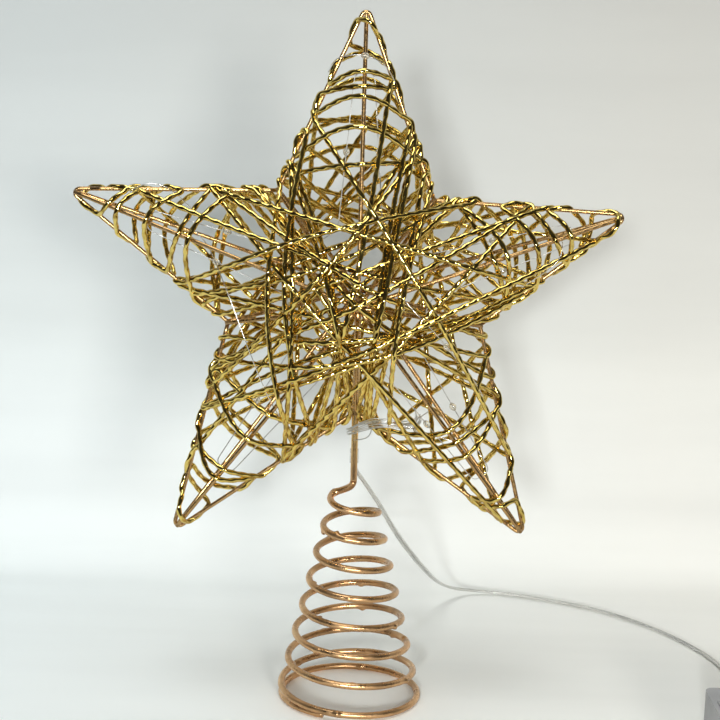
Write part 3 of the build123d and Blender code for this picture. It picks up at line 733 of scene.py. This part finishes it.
class TOPPER_OT_frame_wires(bpy.types.Operator):
    """Lays the round outline, ridge and valley wires and the two welds over the CAD rods"""
    bl_idname = "topper.frame_wires"
    bl_label = "Frame Wires"

    def execute(self, context):
        star = context.scene.topper_star
        material = wire_material("frame_gold", star.wire_colour, 0.24)
        lap_share = 1.08
        radius = star.wire / 2
        lap = star.wire * lap_share
        bend_step = 0.0004
        weld_from_tip = 0.0085
        ridge_short = 0.0030
        valley_past = 1.015
        for arm, name in enumerate(ARMS):
            tip = tip_of(star, arm)
            bent_notch = notch_of(star, arm, 1)
            straight_notch = notch_of(star, arm, -1)
            weld = tip + unit(straight_notch - tip) * weld_from_tip
            bent = place(np.concatenate(([bent_notch], self.tip_bend(star, arm), [weld])))
            bent = softened(bent, bend_step, bend_step)
            self.lay_wire(f"{name}_bent_wire", bent, radius, material, f"{name}_arm_bent_wire")
            straight = evenly(place(np.stack((weld, straight_notch))), STRAIGHT_STEP)
            self.lay_wire(f"{name}_straight_wire", straight, radius, material, f"{name}_arm_straight_wire")
            ridge_end = tip - unit(tip) * ridge_short
            valley_end = bent_notch * valley_past
            valley_lap = lap if arm != STEM_NOTCH else (star.stem_wire + star.wire) / 2
            for face, sign in FACES:
                self.spoke(f"{name}_{face}_ridge", ridge_end, sign, lap, radius, material)
                self.spoke(f"{name}_{face}_valley", valley_end, sign, valley_lap, radius, material)
        for face, sign in FACES:
            add_piece(f"{face}_weld", [self.weld_grid(sign)], material, "frame_gold", "star", f"{face}_hub")
        return {"FINISHED"}

    def lay_wire(self, name, path, radius, material, node):
        """A round wire along a path, in place of a CAD rod."""
        add_piece(name, [round_grid(path, radius, WIRE_SIDES)], material, "frame_gold", "star", node)

    def tip_bend(self, star, arm, points=13):
        """Points of the bend: an arc that touches both edges of an arm, from its +1 side to its -1 side."""
        tip = tip_of(star, arm)
        edge = unit(notch_of(star, arm, 1) - tip)
        axis = -unit(edge + unit(notch_of(star, arm, -1) - tip))
        half = math.acos(float(np.dot(edge, -axis)))
        centre = tip - axis * star.bend / math.sin(half)
        cross = np.array([-axis[1], axis[0]])
        turn = np.linspace(math.pi / 2 - half, half - math.pi / 2, points)[:, None]
        return centre + star.bend * (axis * np.cos(turn) + cross * np.sin(turn))

    def spoke(self, name, end, sign, lap, radius, material):
        """A straight wire from the weld at an apex to a point near the outline, front or back."""
        inner = place(unit(end) * WELD_RADIUS * WELD_CORE, sign * HALF_DEPTH)
        outer = place(end, sign * lap)
        path = evenly(np.stack((inner, outer)), STRAIGHT_STEP)
        self.lay_wire(f"{name}_round_wire", path, radius, material, f"{name}_wire")

    def weld_grid(self, sign, rings=15, sides=40):
        """A flattened nugget: a squashed sphere whose rim swells where each of the ten wires leaves it."""
        share = np.linspace(0.03, 0.97, rings)[:, None]
        angle = round_angles(sides)[None]
        swell, narrowness, fullness, half_thickness = 0.18, 60, 0.7, 0.0015
        near = np.cos(angle - CORNER_ANGLES[:, None]).max(axis=0)
        swelling = 1 + swell * np.exp(narrowness * (near - 1))
        reach = WELD_CORE * WELD_RADIUS * np.sin(np.pi * share) ** fullness * swelling
        depth = sign * HALF_DEPTH + half_thickness * np.cos(np.pi * share) + 0 * angle
        return np.stack((reach * np.cos(angle), depth, STAR_HEIGHT + reach * np.sin(angle)), axis=-1)


class TOPPER_OT_stem_and_spring(bpy.types.Operator):
    """Bends the stem, the conical spring and its foot from one lacquered wire"""
    bl_idname = "topper.stem_and_spring"
    bl_label = "Stem and Spring"

    def execute(self, context):
        star = context.scene.topper_star
        spring = context.scene.topper_spring
        lacquer = lacquer_material(spring)
        radius = star.stem_wire / 2
        stem_step, stem_bend = 0.0008, 0.0024
        coil_step, coil_bend = 0.00045, 0.0008
        coil_points, foot_points = 900, 120
        coil_seed, foot_seed, foot_drips = 3, 8, 5
        stem = np.array([[0, 0, STEM_BOTTOM], [0, 0, STAR_HEIGHT], [0, STEM_BACK, STAR_HEIGHT]])
        stem_grid = round_grid(softened(stem, stem_step, stem_bend), radius, 16)
        add_piece("stem_wire", [stem_grid], stem_material(star, spring), "stem_gold", "star", "stem")
        turns = np.linspace(0, spring.turns + spring.closing_turns, coil_points)
        coil = self.coil(star, spring, turns)
        neck = self.neck(coil[0], coil[1] - coil[0])
        path = softened(np.concatenate((neck, coil)), coil_step, coil_bend)
        coil_grid = self.dripped_grid(path, radius, spring.drips, coil_seed)
        coil_piece = add_piece("spring_coils", [coil_grid], lacquer, "copper_wire", "base", "spring_base")
        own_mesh(coil_piece)
        foot_turns = np.linspace(turns[-1], turns[-1] + spring.foot_turns, foot_points)
        foot = softened(self.coil(star, spring, foot_turns), coil_step, coil_bend)
        foot_grid = self.dripped_grid(foot, radius, foot_drips, foot_seed)
        add_piece("spring_foot_ring", [foot_grid], lacquer, "copper_wire", "base", "spring_foot")
        return {"FINISHED"}

    def coil(self, star, spring, turns):
        """A left-handed conical helix: radius and height run evenly with the turns down to the ground.

        In the closing part of a turn the height follows a parabola down to the wire's own radius, and
        the dead turn draws in slightly towards its cut end.
        """
        ground = star.stem_wire / 2
        pitch = (spring.top_height - ground) / (spring.turns + spring.closing_turns / 2)
        down = np.minimum(turns, spring.turns)
        closing = np.clip(turns - spring.turns, 0, spring.closing_turns)
        drop = pitch * (down + closing - closing ** 2 / (2 * spring.closing_turns))
        dead = np.clip(turns - spring.turns - spring.closing_turns, 0, None)
        widening = (spring.base_radius - spring.top_radius) / spring.turns
        draw_in = 0.0032
        radius = spring.top_radius + widening * down - draw_in * dead ** 2
        angle = np.pi + 2 * np.pi * turns
        return np.stack((radius * np.cos(angle), radius * np.sin(angle), spring.top_height - drop), axis=1)

    def neck(self, end, heading):
        """The bend from stem to first coil: a cubic with the stem's and the coil's directions at its ends."""
        stem_pull, coil_pull = 0.011, 0.022
        start = np.array([0.0, 0.0, STEM_BOTTOM])
        share = np.linspace(0, 1, 40)[:-1, None]
        leave = np.array([0.0, 0.0, -stem_pull])
        arrive = unit(heading) * coil_pull
        return ((2 * share ** 3 - 3 * share ** 2 + 1) * start + (share ** 3 - 2 * share ** 2 + share) * leave
                + (3 * share ** 2 - 2 * share ** 3) * end + (share ** 3 - share ** 2) * arrive)

    def dripped_grid(self, path, radius, count, seed, sides=14):
        """Rings of a wire whose radius has a sum of bell-shaped lumps of lacquer, flat on the ground."""
        chance = np.random.default_rng(seed)
        run = run_of(path)
        at = chance.uniform(0.01, 0.99, count) * run[-1]
        length = chance.uniform(0.0004, 0.0009, count)
        height = chance.uniform(0.15, 1.0, count) ** 1.5
        around = chance.uniform(0, 2 * np.pi, count)
        angle = round_angles(sides)
        along = np.exp(-0.5 * ((run[:, None] - at) / length) ** 2) * height
        across = np.exp(3.0 * (np.cos(angle[:, None] - around) - 1))
        wave = 0.02 * np.sin(run / 0.0043) + 0.015 * np.sin(run / 0.0017)
        grid = round_grid(path, radius * (1 + wave[:, None] + along @ across.T), sides)
        grid[..., 2] = np.maximum(grid[..., 2], 0.0)
        return grid


class TOPPER_OT_gold_cord(bpy.types.Operator):
    """Winds the gold cord out and back along each arm and to and fro over the body"""
    bl_idname = "topper.gold_cord"
    bl_label = "Gold Cord"

    def execute(self, context):
        star = context.scene.topper_star
        cord = context.scene.topper_cord
        material = foil_material(cord)
        for arm, name in enumerate(ARMS):
            self.lay_cord(cord, f"{name}_arm_cord", self.arm_path(star, cord, arm), material)
        self.lay_cord(cord, "inner_body_cord", self.inner_path(star, cord), material)
        self.lay_cord(cord, "outer_body_cord", self.outer_path(star, cord), material)
        return {"FINISHED"}

    def lay_cord(self, cord, name, path, material):
        """A twisted cord along a softened path."""
        line = softened(path, cord.step, cord.soften)
        grid = cord_grid(line, cord.diameter, cord.lay, cord.groove)
        add_piece(name, [grid], material, "cord_gold", "star", "gold_cord")

    def arm_path(self, star, cord, arm):
        """Strands between an arm's two edges by turns: long slanting ones out, then rounded loops back."""
        chance = np.random.default_rng(cord.seed + arm)
        jitter, narrow, wide = 0.02, 0.050, 0.085
        loop_bow, slant_bow = 0.24, 0.06
        loop_lift, slant_lift, spare_lift = 0.0032, 0.0020, 0.0012
        out = np.linspace(*OUT_SHARES, cord.out_strands + 1)
        back = np.linspace(*BACK_SHARES, cord.back_strands + EXTRA_LOOPS[arm] + 1)[1:]
        share = np.concatenate((out, back))
        count = len(share)
        share = share + chance.uniform(-jitter, jitter, count)
        side = np.where(np.arange(count) % 2, -1.0, 1.0)
        looped = np.arange(count - 1) >= cord.out_strands
        half = chance.uniform(narrow, wide, count) * np.where(np.arange(count) > cord.out_strands, -1.0, 1.0)
        number = np.full(count - 1, float(arm))
        starts = edge_point(star, number, side[:-1], np.clip(share + half, 0.0, LAST_SHARE)[:-1])
        ends = edge_point(star, number, side[1:], np.clip(share - half, 0.0, LAST_SHARE)[1:])
        bows = np.where(looped, loop_bow, slant_bow) * chance.uniform(0.7, 1.3, count - 1) * side[:-1]
        lifts = np.where(looped, loop_lift, slant_lift) + chance.uniform(0, spare_lift, count - 1)
        return laced_path(star, starts, ends, bows, lifts, ARM_BULGE, arm % 2)

    def inner_path(self, star, cord):
        """Strands from notch to notch, two steps on each time, over the front and the back by turns.

        At a notch the cord goes round the edge of one of its two arms, and its places along those edges
        are drawn at random, most of them near the notch.
        """
        chance = np.random.default_rng(cord.seed + len(ARMS))
        stop = np.arange(cord.body_strands + 1)
        side = np.where(stop // len(ARMS) % 2, -1.0, 1.0)
        arm = 2 * stop + (1 - side) / 2
        nearest, span, crowding, bow = 0.03, 0.36, 1.4, 0.09
        share = nearest + span * self.evenly_drawn(chance, len(stop)) ** crowding
        return self.body_path(star, chance, arm, side, share, bow)

    def outer_path(self, star, cord):
        """Strands from a notch over the star to the arm across it, and under the star to another notch.

        The next notch lies a step and a half from the arm, on the side away from the edge that the cord
        goes round, so no strand leaves the outline.
        """
        chance = np.random.default_rng(cord.seed + len(ARMS) + 1)
        pairs_on_a_side, first_notch, across, bow = 6, 1.5, 2.5, 0.03
        near_low, near_span = 0.03, 0.45
        far_low, far_span = 0.10, 0.76
        pairs = cord.long_strands // 2 + 1
        pair = np.arange(pairs)
        far_side = np.where((pair + 1) // pairs_on_a_side % 2, 1.0, -1.0)
        steps = np.where(far_side < 0, len(ARMS) - 1, len(ARMS) + 1)
        notch = first_notch + np.concatenate(([0.0], np.cumsum(steps)[:-1]))
        near_side = np.concatenate((far_side[:1], far_side[:-1]))
        near = near_low + near_span * self.evenly_drawn(chance, pairs)
        far = far_low + far_span * self.evenly_drawn(chance, pairs)
        arm = np.stack((notch - near_side / 2, notch + across), axis=1).ravel()
        side = np.stack((near_side, far_side), axis=1).ravel()
        return self.body_path(star, chance, arm, side, np.stack((near, far), axis=1).ravel(), bow)

    def evenly_drawn(self, chance, count):
        """Numbers from nought to one that fill the range evenly, arm by arm, in steps of the golden share."""
        stop = np.arange(count)
        first = chance.uniform(0, 1, len(ARMS))[stop % len(ARMS)]
        return (first + stop // len(ARMS) * GOLDEN_SHARE) % 1.0

    def body_path(self, star, chance, arm, side, share, bow):
        """A laced path through stops on the arms' edges, each lying higher than the strands before it."""
        widest, low_lift, rise, spare_lift = 0.04, 0.0020, 0.0036, 0.0014
        half = chance.uniform(-widest, widest, len(arm))
        count = len(arm) - 1
        starts = edge_point(star, arm[:-1], side[:-1], (share + half)[:-1])
        ends = edge_point(star, arm[1:], side[1:], (share - half)[1:])
        bows = chance.uniform(-bow, bow, count)
        lifts = low_lift + rise * np.linspace(0, 1, count) + chance.uniform(0, spare_lift, count)
        return laced_path(star, starts, ends, bows, lifts, BODY_BULGE, 0)


class TOPPER_OT_lights(bpy.types.Operator):
    """Threads the micro-light wire through the arms, with its beads and the strands bound round the stem"""
    bl_idname = "topper.lights"
    bl_label = "Lights"

    def execute(self, context):
        star = context.scene.topper_star
        lights = context.scene.topper_lights
        silver = wire_material("silver_wire", lights.wire_colour, 0.22, 0.9)
        # Painted shade: the run inside the star and round the stem is the same wire painted at half its
        # colour.
        painted_shade_silver = wire_material("painted_shade_silver_wire", tint(lights.wire_colour, 0.5), 0.32, 0.9)
        resin = clear_material("clear_resin", (0.96, 0.93, 0.82), 0.06)
        radius = lights.wire / 2
        step, run_bend, stray_bend = 0.0006, 0.0016, 0.0030
        bundle_step, bundle_bend = 0.0005, 0.0010
        petals, beads = self.petals()
        binding = self.binding(star, lights)
        path = softened(np.concatenate((binding, petals)), step, run_bend)
        self.lay_runs("light_wire_run", [path], radius, painted_shade_silver)
        runs = [softened(points, step, stray_bend) for points in self.stray_runs()]
        self.lay_runs("light_wire_strays", runs, radius, silver)
        # The bundle round the stem is the same wire at 0.72 of its colour.
        lacquered = wire_material("darker_bundle_wire", tint(lights.wire_colour, 0.72), 0.34, 0.8)
        bound = [softened(points, bundle_step, bundle_bend) for points in self.bundle_runs()]
        self.lay_runs("light_wire_bundle", bound, radius, lacquered)
        for run in (runs[2], runs[4], runs[5]):
            middle = len(run) // 2
            beads.append((run[middle], run[middle + 1] - run[middle]))
        grids = [bead_grid(centre, along, lights.bead_radius, lights.bead_length) for centre, along in beads]
        add_piece("light_bead_drops", grids, resin, "clear_resin", "star", "light_beads")
        dress(clear_material("clear_sleeve", (0.90, 0.89, 0.86), 0.20), "splice_sleeve")
        return {"FINISHED"}

    def lay_runs(self, name, runs, radius, material, sides=8):
        """Round wires along some paths, as one piece of the light wire."""
        grids = [round_grid(run, radius, sides) for run in runs]
        add_piece(name, grids, material, "light_wire", "star", "light_wire")

    def petals(self):
        """The wire's way into each arm and out again, with a bead in the middle of each straight run."""
        inner, far, half, apart = 0.026, 0.080, 0.0035, math.radians(18)
        order = [3, 4, 0, 1, 2]
        points = [np.array([[0.0054, -0.0026, 0.1], [0.0068, -0.0026, 0.1068], [0.0086, -0.001, 0.1158]])]
        beads = []
        for angle in ARM_ANGLES[order]:
            lean = half * np.array([-math.sin(angle), math.cos(angle)])
            flat = np.stack((inner * outward(angle - apart), far * outward(angle) - lean,
                             far * outward(angle) + lean, inner * outward(angle + apart)))
            petal = place(flat)
            points.append(petal)
            beads += [((start + end) / 2, end - start) for start, end in (petal[:2], petal[2:])]
        return np.concatenate(points), beads

    def binding(self, star, lights):
        """Turns round the stem above the sleeve: a helix from behind the stem to its front."""
        turns, pitch, clearance = 3.5, 0.0008, 0.0001
        above_sleeve, in_sleeve = 0.0016, 0.0005
        sleeve_top = float(SLEEVE_HIGH[2])
        turn = np.linspace(0, turns, 120)
        radius = (star.stem_wire + lights.wire) / 2 + clearance
        angle = np.pi / 2 + 2 * np.pi * turn
        height = sleeve_top + above_sleeve + pitch * turn
        helix = np.stack((radius * np.cos(angle), radius * np.sin(angle), height), axis=1)
        return np.concatenate(([[0.0, SLEEVE_Y, sleeve_top - in_sleeve]], helix))

    def stray_runs(self):
        """Loose lengths that show on the front: routes in millimetres, chosen from the photograph."""
        routes = (
            ((-60, 0, 174.8), (-53, -11, 169.8), (-45, -17.5, 152.8), (-38.5, -18.5, 135.8),
             (-33, -15, 120.8), (-28, -11, 109.8), (-20, -4, 99.8)),
            ((-86.5, 2, 180.8), (-82, -3, 187.8), (-74.8, -4, 191.3), (-68, -3, 189.3), (-60, 3, 180.8)),
            ((-12.5, -2, 230.8), (-9.8, -6, 236.3), (0, -8.5, 237.3), (7.5, -6, 234.3), (11.5, -1, 226.8)),
            ((58, -4, 156.8), (66.5, -9.5, 163.8), (71.5, -9.5, 168.3), (72, -3, 174.8)),
            ((0, -2.2, 104.3), (6, -6.2, 106.6), (13.5, -7.5, 107), (20, -6, 105), (30, -7, 102.3),
             (36.6, -9.5, 100.3), (42, -4, 104.8)),
            ((14, -20, 155.8), (20.5, -21.5, 148.8), (25.8, -20, 143.8), (33, -14, 134.8),
             (42.5, -9, 123.3), (46, -3, 116.8)),
        )
        return [np.array(route) / MM_PER_M for route in routes]

    def bundle_runs(self, count=7):
        """Strands round the stem's front and to the right: one route, shifted by rank and a little chance."""
        route = np.array([(-3, 0.6, 101.4), (-2, -2.4, 102.2), (1.5, -3.6, 104.2), (6, -6.2, 106.2),
                          (10, -7.2, 106.7), (14, -7.6, 106.7), (18.5, -6.2, 105.8), (22.5, -3, 106.2),
                          (25, 1.5, 108)]) / MM_PER_M
        fan = np.array([0.6, 0.8, 1.0, 1.1, 1.2, 1.1, 0.8, 1.2, 1.6])
        seed, jitter, spacing = 5, 0.00035, 0.00048
        chance = np.random.default_rng(seed)
        rank = np.arange(count) - (count - 1) / 2
        shift = chance.uniform(-jitter, jitter, (count, len(route), 3))
        shift[..., 2] += spacing * rank[:, None] * fan
        shift[:, -1, 0] += chance.uniform(-0.004, 0.002, count)
        return list(route + shift)


class TOPPER_OT_lead(bpy.types.Operator):
    """Lays the clear two-core lead from the splice to the battery box"""
    bl_idname = "topper.lead"
    bl_label = "Lead"

    def execute(self, context):
        lead = context.scene.topper_lead
        path = self.spline_points()
        line = evenly(path, LEAD_STEP)
        apart = (lead.width - lead.core) / 2
        cores = [self.core(line, apart, lead.lay, half) for half in (0.0, np.pi)]
        jackets = skin("lead_jackets", [round_grid(core, lead.core / 2, 10) for core in cores])
        strands = skin("lead_strands", [round_grid(core, lead.strand / 2, 8) for core in cores])
        jackets.data.materials.append(clear_material("clear_jacket", (0.98, 0.98, 0.96), 0.06))
        strands.data.materials.append(wire_material("tinned_strand", (0.86, 0.85, 0.82), 0.34, 0.9))
        for piece in (jackets, strands):
            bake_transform(piece)
        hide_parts("lead")
        return {"FINISHED"}

    def route(self):
        """The lead's control points: the part's route in metres, moved below the splice."""
        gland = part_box("lead_gland")
        gland_x = float(gland[0][0] + gland[1][0]) / 2
        gland_z = float(gland[0][2] + gland[1][2]) / 2
        gland_tip = float(gland[1][1])
        return np.array([
            (0.0, SLEEVE_Y, float(SLEEVE_LOW[2])),
            (0.0003, SLEEVE_Y + 0.0004, 0.0866),
            (0.0052, 0.0086, 0.0788),
            (0.0102, 0.0154, 0.0696),
            (0.0156, 0.0260, 0.0576),
            (0.0226, 0.0440, 0.0432),
            (0.0306, 0.0700, 0.0268),
            (0.0384, 0.0980, 0.0116),
            (0.0474, 0.1155, 0.0036),
            (0.0610, 0.1210, 0.0012),
            (0.0840, 0.1135, 0.0012),
            (0.1090, 0.1000, 0.0012),
            (0.1300, 0.0780, 0.0012),
            (0.1450, 0.0500, 0.0012),
            (0.1505, 0.0270, 0.0012),
            (0.1495, 0.0050, 0.0012),
            (0.1455, -0.0095, 0.0016),
            (gland_x, gland_tip + 0.0070, gland_z),
            (gland_x, gland_tip, gland_z),
        ])

    def spline_points(self):
        """Points of a NURBS spline with the route as its control points."""
        route = self.route()
        curve = bpy.data.curves.new("lead_line", "CURVE")
        curve.dimensions = "3D"
        curve.resolution_u = 16
        spline = curve.splines.new("NURBS")
        spline.points.add(len(route) - 1)
        spline.points.foreach_set("co", np.column_stack((route, np.ones(len(route)))).ravel())
        spline.order_u = 3
        spline.use_endpoint_u = True
        holder = bpy.data.objects.new("lead_line", curve)
        bpy.context.scene.collection.objects.link(holder)
        bpy.context.view_layer.update()
        mesh = bpy.data.meshes.new_from_object(holder)
        points = np.empty(3 * len(mesh.vertices))
        mesh.vertices.foreach_get("co", points)
        bpy.data.objects.remove(holder)
        bpy.data.curves.remove(curve)
        bpy.data.meshes.remove(mesh)
        return points.reshape(-1, 3)

    def core(self, line, apart, lay, phase):
        """One core beside the lead's line: an offset across it that turns with the run.

        The offset loses its height where the line lies on the floor.
        """
        across, up = carried_axes(line)
        angle = (phase + 2 * np.pi * run_of(line) / lay)[:, None]
        shift = apart * (across * np.cos(angle) + up * np.sin(angle))
        near_floor = 0.004
        shift[line[:, 2] < near_floor, 2] = 0.0
        return line + shift


class TOPPER_OT_battery_box(bpy.types.Operator):
    """Gives the battery box, its cells, contacts and switch their finishes"""
    bl_idname = "topper.battery_box"
    bl_label = "Battery Box"

    def execute(self, context):
        box = context.scene.topper_box
        shell = plastic_material("box_shell", box.shell_colour, 0.42, 0.35)
        dark = plastic_material("dark_moulding", box.dark_colour, 0.38, 0.25)
        plated = plated_material("nickel_plate", box.metal_colour, 0.26)
        dress(shell, "battery_case", "battery_cover")
        dress(dark, "switch_body", "switch_knob", "lead_gland")
        dress(plated, "bridge_contact", "positive_contact", "negative_contact")
        dress(cell_material(box), "left_cell", "right_cell")
        return {"FINISHED"}


class TOPPER_OT_stage(bpy.types.Operator):
    """Sets up the pale board, the soft lamps, the world and the camera"""
    bl_idname = "topper.stage"
    bl_label = "Stage"

    def execute(self, context):
        stage = context.scene.topper_stage
        scene = context.scene
        scene.view_settings.view_transform = "Standard"
        board = skin_sheet("board", self.board_grid(stage.wall))
        board.data.materials.append(paper_material(stage))
        self.camera(scene, stage)
        self.world(scene)
        for lamp in LAMPS:
            self.lamp(*lamp)
        return {"FINISHED"}

    def board_grid(self, wall, count=41):
        """A level floor that rises in a quarter circle into an upright wall, carried across in X."""
        bend, front, top, half_width = 0.09, -0.22, 0.70, 0.65
        turn = np.linspace(0, np.pi / 2, count)
        curve = np.stack((wall - bend + bend * np.sin(turn), bend - bend * np.cos(turn)), axis=1)
        profile = np.concatenate(([[front, 0.0]], curve, [[wall, top]]))
        grid = np.empty((len(profile), 2, 3))
        grid[..., 0] = (-half_width, half_width)
        grid[..., 1] = profile[:, :1]
        grid[..., 2] = profile[:, 1:]
        return grid

    def camera(self, scene, stage):
        """A camera on the photograph's line of sight, rolled about it."""
        data = bpy.data.cameras.new("camera")
        data.angle = stage.view_angle
        data.clip_start = 0.01
        sight = np.array([0.0, -math.cos(stage.elevation), math.sin(stage.elevation)])
        eye = np.array(stage.target) + stage.distance * sight
        camera = bpy.data.objects.new("camera", data)
        tilt = Matrix.Rotation(math.pi / 2 - stage.elevation, 4, "X")
        camera.matrix_world = Matrix.Translation(eye) @ tilt @ Matrix.Rotation(stage.roll, 4, "Z")
        scene.collection.objects.link(camera)
        scene.camera = camera

    def world(self, scene):
        """A bright room with a dim side behind the camera, which the metal shows."""
        world = bpy.data.worlds.new("room")
        world.use_nodes = True
        scene.world = world
        tree = world.node_tree
        background = next(node for node in tree.nodes if node.type == "BACKGROUND")
        depth = spread(tree, own_axes(tree, "Generated")["Y"], 0.0, 1.0, -1.0, 1.0)
        shade = ramp(tree, depth, (0.02, (0.07, 0.07, 0.072)), (0.30, (0.09, 0.09, 0.09)),
                     (0.48, (0.24, 0.25, 0.26)), (0.60, (0.95, 0.96, 0.96)))
        tree.links.new(shade, background.inputs["Color"])
        background.inputs["Strength"].default_value = ROOM_STRENGTH

    def lamp(self, name, spot, size, power, colour):
        """A square soft lamp turned towards the star's centre."""
        data = bpy.data.lights.new(name, "AREA")
        data.energy = power
        data.color = colour
        data.size = size
        lamp = bpy.data.objects.new(name, data)
        away = unit(np.array(spot) - np.array([0.0, 0.0, STAR_HEIGHT]))
        side = unit(np.cross([0.0, 0.0, 1.0], away))
        stand = np.eye(4)
        stand[:3] = np.column_stack((side, np.cross(away, side), away, spot))
        lamp.matrix_world = Matrix(stand)
        bpy.context.scene.collection.objects.link(lamp)


class TOPPER_PT_sidebar(bpy.types.Panel):
    """Lists the steps that build the topper"""
    bl_idname = "TOPPER_PT_sidebar"
    bl_label = "Tree Topper"
    bl_space_type = "VIEW_3D"
    bl_region_type = "UI"
    bl_category = "Topper"

    def draw(self, context):
        for step in STEPS:
            self.layout.operator(step.bl_idname)


SETTINGS = {
    "topper_star": StarSettings,
    "topper_cord": CordSettings,
    "topper_spring": SpringSettings,
    "topper_lights": LightSettings,
    "topper_lead": LeadSettings,
    "topper_box": BoxSettings,
    "topper_stage": StageSettings,
}
STEPS = (
    TOPPER_OT_stage,
    TOPPER_OT_lead,
    TOPPER_OT_frame_wires,
    TOPPER_OT_stem_and_spring,
    TOPPER_OT_gold_cord,
    TOPPER_OT_lights,
    TOPPER_OT_battery_box,
)


def register():
    """Registers the settings, the operators and the panel."""
    for name, group in SETTINGS.items():
        bpy.utils.register_class(group)
        setattr(bpy.types.Scene, name, bpy.props.PointerProperty(type=group))
    for step in STEPS:
        bpy.utils.register_class(step)
    bpy.utils.register_class(TOPPER_PT_sidebar)


def unregister():
    """Takes back what register added, in the opposite order."""
    bpy.utils.unregister_class(TOPPER_PT_sidebar)
    for step in reversed(STEPS):
        bpy.utils.unregister_class(step)
    for name, group in reversed(SETTINGS.items()):
        delattr(bpy.types.Scene, name)
        bpy.utils.unregister_class(group)


def main():
    """Registers the add-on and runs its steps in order."""
    register()
    bpy.ops.topper.stage()
    bpy.ops.topper.lead()
    bpy.ops.topper.frame_wires()
    bpy.ops.topper.stem_and_spring()
    bpy.ops.topper.gold_cord()
    bpy.ops.topper.lights()
    bpy.ops.topper.battery_box()


if __name__ == "__main__":
    main()
